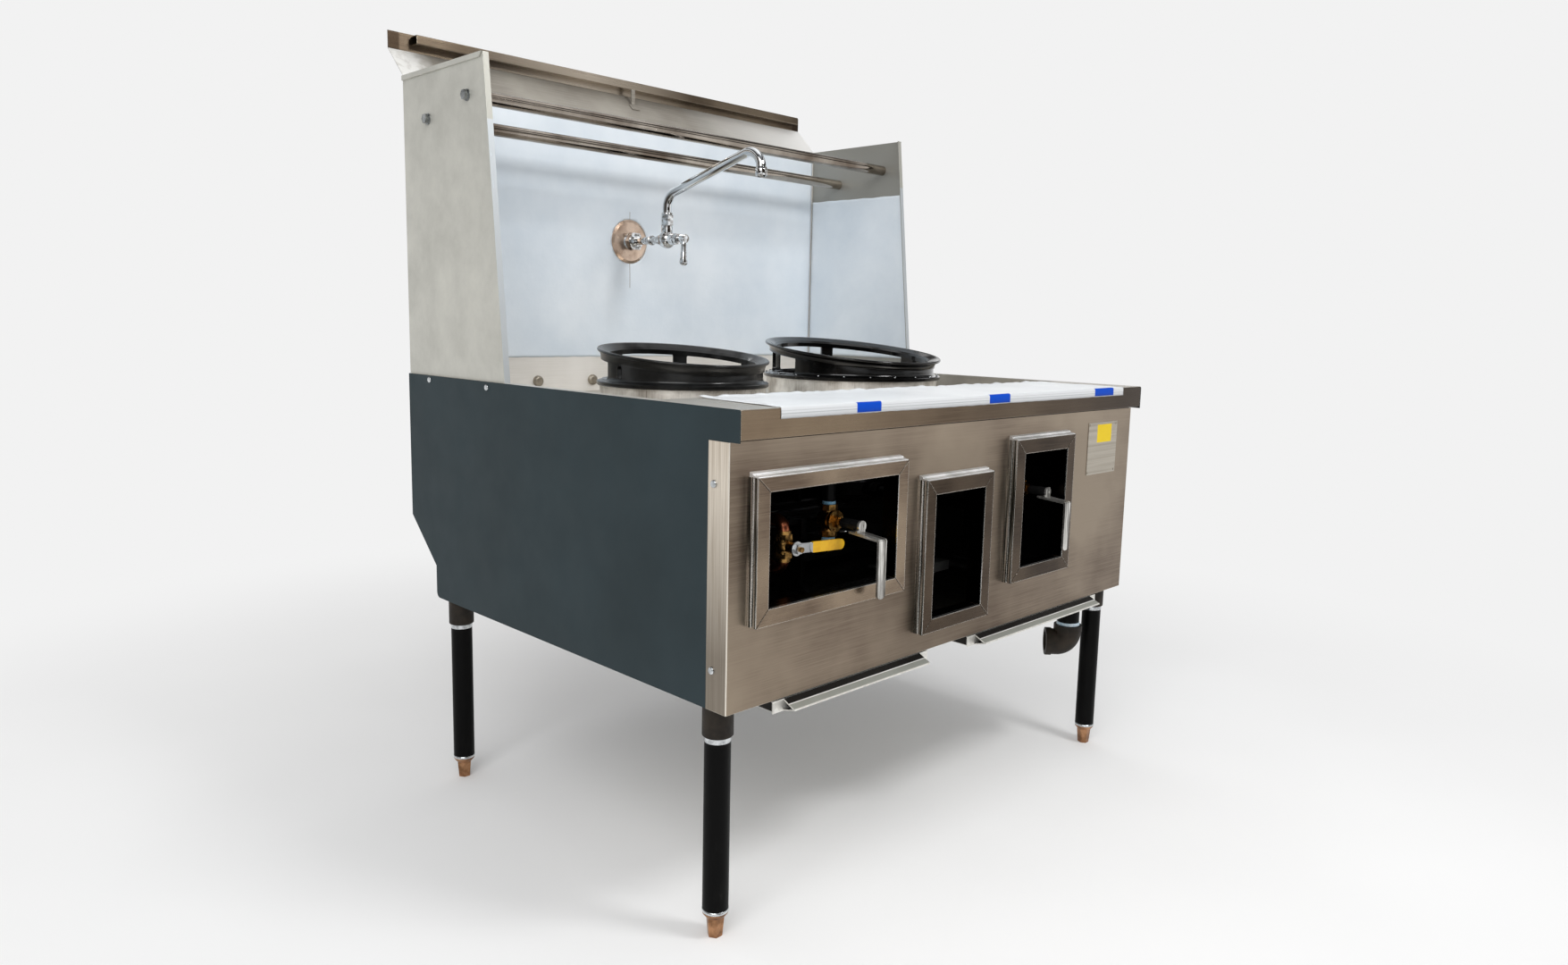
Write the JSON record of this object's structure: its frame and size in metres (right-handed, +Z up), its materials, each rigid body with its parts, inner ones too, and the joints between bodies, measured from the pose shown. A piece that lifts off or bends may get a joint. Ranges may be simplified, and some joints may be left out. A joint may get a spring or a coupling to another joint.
{
  "type": "wok range",
  "caption": "Gas wok range: stainless cabinet on pipe legs, cast wok rings over jet burners, high splash with wings, rods and swing faucet, knee levers in windows.",
  "frame": {"origin": "centre of the footprint on the floor", "axes": "+X to the right seen from the cook's side, +Y towards the back, +Z up"},
  "size_m": [1.2254, 1.144, 1.546],
  "materials": {
    "black_pipe": "satin",
    "black_plastic": "matte",
    "brass": "satin",
    "brushed_steel": "satin",
    "cast_iron_glossy": "satin",
    "cast_iron_matte": "matte",
    "chrome": "polished",
    "copper": "satin",
    "film": "satin",
    "foot_bronze": "satin",
    "frame_paint": "matte",
    "front_steel": "satin",
    "galvanised": "satin",
    "malleable_iron": "matte",
    "painted_steel": "matte",
    "white_film": "satin",
    "wing_sheet": "satin",
    "yellow_vinyl": "satin",
    "zinc": "satin"
  },
  "bodies": {
    "range_body": {"ball_valve": "brass", "base_frame": "frame_paint", "burner_feeds": "black_pipe", "burner_left": "cast_iron_matte", "burner_right": "cast_iron_matte", "chamber_shroud_left": "brushed_steel", "chamber_shroud_right": "brushed_steel", "deck": "brushed_steel", "drain_elbow": "malleable_iron", "drain_pipe": "black_pipe", "drain_strainer": "chrome", "escutcheon": "copper", "faucet_body": "chrome", "faucet_shank": "chrome", "fire_chamber_left": "cast_iron_matte", "fire_chamber_right": "cast_iron_matte", "front_panel": "front_steel", "front_rail": "front_steel", "gas_manifold": "black_pipe", "leaning_panel": "brushed_steel", "left_side_panel": "painted_steel", "left_wing": "wing_sheet", "leg_couplings": "malleable_iron", "leg_pipes": "black_pipe", "main_valve_left": "brass", "main_valve_right": "brass", "panel_screws": "zinc", "rack_rods": "brushed_steel", "rail_bracket": "brushed_steel", "rail_channel": "front_steel", "rail_film": "white_film", "rating_plate": "galvanised", "rear_panel": "galvanised", "right_side_panel": "painted_steel", "right_wing": "wing_sheet", "rod_bolts": "zinc", "splash_film": "film", "splash_nozzles": "chrome", "splash_panel": "brushed_steel", "top_rail": "front_steel", "tray_runners": "galvanised", "water_pipe": "copper", "window_frame_left": "front_steel", "window_frame_middle": "front_steel", "window_frame_right": "front_steel"},
    "wok_ring_left_body": {"wok_ring_left": "cast_iron_matte"},
    "wok_ring_right_body": {"wok_ring_right": "cast_iron_glossy"},
    "spout": {"faucet_spout": "chrome"},
    "tap_handle": {"faucet_handle": "chrome"},
    "knee_lever_left_body": {"knee_lever_left": "zinc", "lever_sleeve_left": "black_plastic"},
    "knee_lever_right_body": {"knee_lever_right": "zinc", "lever_sleeve_right": "black_plastic"},
    "shutoff": {"shutoff_lever": "yellow_vinyl"},
    "tray_left": {"drip_tray_left": "galvanised"},
    "tray_right": {"drip_tray_right": "galvanised"},
    "foot_fl": {"foot_front_left": "foot_bronze"},
    "foot_fr": {"foot_front_right": "foot_bronze"},
    "foot_rl": {"foot_rear_left": "foot_bronze"},
    "foot_rr": {"foot_rear_right": "foot_bronze"}
  },
  "joints": [
    {"name": "wok_ring_left_lift", "type": "slide", "parent": "range_body", "child": "wok_ring_left_body", "axis": [0, 0, 1], "range_m": [0, 0.16]},
    {"name": "wok_ring_right_lift", "type": "slide", "parent": "range_body", "child": "wok_ring_right_body", "axis": [0, 0, 1], "range_m": [0, 0.16]},
    {"name": "spout_swing", "type": "hinge", "parent": "range_body", "child": "spout", "pos_m": [-0.0406, 0.333, 1.2], "axis": [0, 0, 1], "range_deg": [-75, 75]},
    {"name": "tap_handle_turn", "type": "hinge", "parent": "range_body", "child": "tap_handle", "pos_m": [-0.0406, 0.273, 1.155], "axis": [0, 1, 0], "range_deg": [-60, 60]},
    {"name": "knee_lever_left_turn", "type": "hinge", "parent": "range_body", "child": "knee_lever_left_body", "pos_m": [-0.3061, -0.502, 0.6365], "axis": [0, 1, 0], "range_deg": [-45, 45]},
    {"name": "knee_lever_right_turn", "type": "hinge", "parent": "range_body", "child": "knee_lever_right_body", "pos_m": [0.2794, -0.502, 0.6365], "axis": [0, 1, 0], "range_deg": [-45, 45]},
    {"name": "shutoff_turn", "type": "hinge", "parent": "range_body", "child": "shutoff", "pos_m": [-0.4156, -0.479, 0.606], "axis": [0, 1, 0], "range_deg": [0, 90]},
    {"name": "tray_left_slide", "type": "slide", "parent": "range_body", "child": "tray_left", "axis": [0, -1, 0], "range_m": [0, 0.62]},
    {"name": "tray_right_slide", "type": "slide", "parent": "range_body", "child": "tray_right", "axis": [0, -1, 0], "range_m": [0, 0.62]},
    {"name": "foot_front_left_screw", "type": "slide", "parent": "range_body", "child": "foot_fl", "axis": [0, 0, 1], "range_m": [-0.03, 0]},
    {"name": "foot_front_right_screw", "type": "slide", "parent": "range_body", "child": "foot_fr", "axis": [0, 0, 1], "range_m": [-0.03, 0]},
    {"name": "foot_rear_left_screw", "type": "slide", "parent": "range_body", "child": "foot_rl", "axis": [0, 0, 1], "range_m": [-0.03, 0]},
    {"name": "foot_rear_right_screw", "type": "slide", "parent": "range_body", "child": "foot_rr", "axis": [0, 0, 1], "range_m": [-0.03, 0]}
  ]
}
